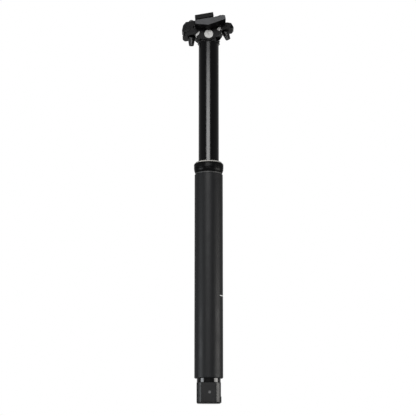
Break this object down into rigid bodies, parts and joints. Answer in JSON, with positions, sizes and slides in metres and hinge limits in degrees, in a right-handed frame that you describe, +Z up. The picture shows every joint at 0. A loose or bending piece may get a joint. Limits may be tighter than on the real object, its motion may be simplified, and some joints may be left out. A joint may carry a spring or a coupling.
{
  "type": "dropper seatpost",
  "caption": "Telescoping bicycle seatpost: sliding upper tube with a tipping two-bolt saddle clamp, sealed collar, hydraulic cartridge and cable release at the foot.",
  "frame": {"origin": "on the post's axis, in the plane where the seat tube's mouth meets the post, just under the collar", "axes": "+Z up along the post to the saddle, +X forwards along the saddle's rails at rest seen from above, +Y to the side"},
  "size_m": [0.059, 0.055, 0.4401],
  "materials": {
    "matt_anodised": "matt black anodised",
    "gloss_anodised": "gloss black hard anodised",
    "forged_black": "satin black anodised forging",
    "bright_metal": "polished",
    "housing_black": "satin black anodised",
    "black_steel": "black oxide",
    "zinc_steel": "bright zinc",
    "chromed_rod": "ground and hard chromed",
    "turned_alloy": "turned",
    "bush_plastic": "bearing plastic",
    "seal_rubber": "soft rubber",
    "key_brass": "bare"
  },
  "bodies": {
    "lower": {"lower_tube": "matt_anodised", "collar": "gloss_anodised", "neck_ring": "seal_rubber", "trim_ring": "bright_metal", "wiper_seal": "seal_rubber", "foam_ring": "seal_rubber", "upper_bush": "bush_plastic", "cartridge_rod": "chromed_rod", "rod_piston": "turned_alloy", "piston_ring": "bush_plastic", "bottom_cap": "gloss_anodised", "bumper": "seal_rubber", "actuator_housing": "housing_black", "housing_screw": "zinc_steel", "lever_pin": "zinc_steel", "return_spring": "zinc_steel"},
    "upper": {"stanchion": "gloss_anodised", "lower_bush": "bush_plastic", "guide_keys": "key_brass", "post_head": "forged_black", "tilt_pin": "bright_metal", "cartridge_body": "zinc_steel", "cartridge_stud": "zinc_steel", "cartridge_sleeve": "bush_plastic", "cartridge_gland": "turned_alloy", "rod_seal": "seal_rubber"},
    "clamp": {"rocker": "bright_metal", "yoke": "forged_black", "cradle": "forged_black", "top_clamp": "forged_black", "clamp_bolts": "black_steel", "bolt_washers": "black_steel", "clamp_nuts": "black_steel"},
    "lever": {"release_lever": "turned_alloy", "cable_anchor": "key_brass", "anchor_screw": "zinc_steel"},
    "release": {"push_rod": "chromed_rod"},
    "float": {"floating_piston": "turned_alloy", "floating_ring": "seal_rubber"}
  },
  "joints": [
    {"name": "post_slide", "type": "slide", "parent": "lower", "child": "upper", "axis": [0, 0, -1], "range_m": [0, 0.125]},
    {"name": "clamp_tilt", "type": "hinge", "parent": "upper", "child": "clamp", "pos_m": [0, 0, 0.1615], "axis": [0, 1, 0], "range_deg": [-8, 28]},
    {"name": "lever_turn", "type": "hinge", "parent": "lower", "child": "lever", "pos_m": [-0.009, 0, -0.2455], "axis": [0, -1, 0], "range_deg": [0, 12]},
    {"name": "release_slide", "type": "slide", "parent": "lower", "child": "release", "axis": [0, 0, 1], "range_m": [0, 0.00188], "stiffness_N_per_m": 800, "springref_m": -0.002, "deforming": ["return_spring"]},
    {"name": "float_slide", "type": "slide", "parent": "upper", "child": "float", "axis": [0, 0, 1], "range_m": [0, 0.042]}
  ],
  "couplings": [
    {"joint": "lever_turn", "follows": "release_slide", "rad_per_m": 111.11},
    {"joint": "float_slide", "follows": "post_slide", "ratio": 0.32653}
  ]
}
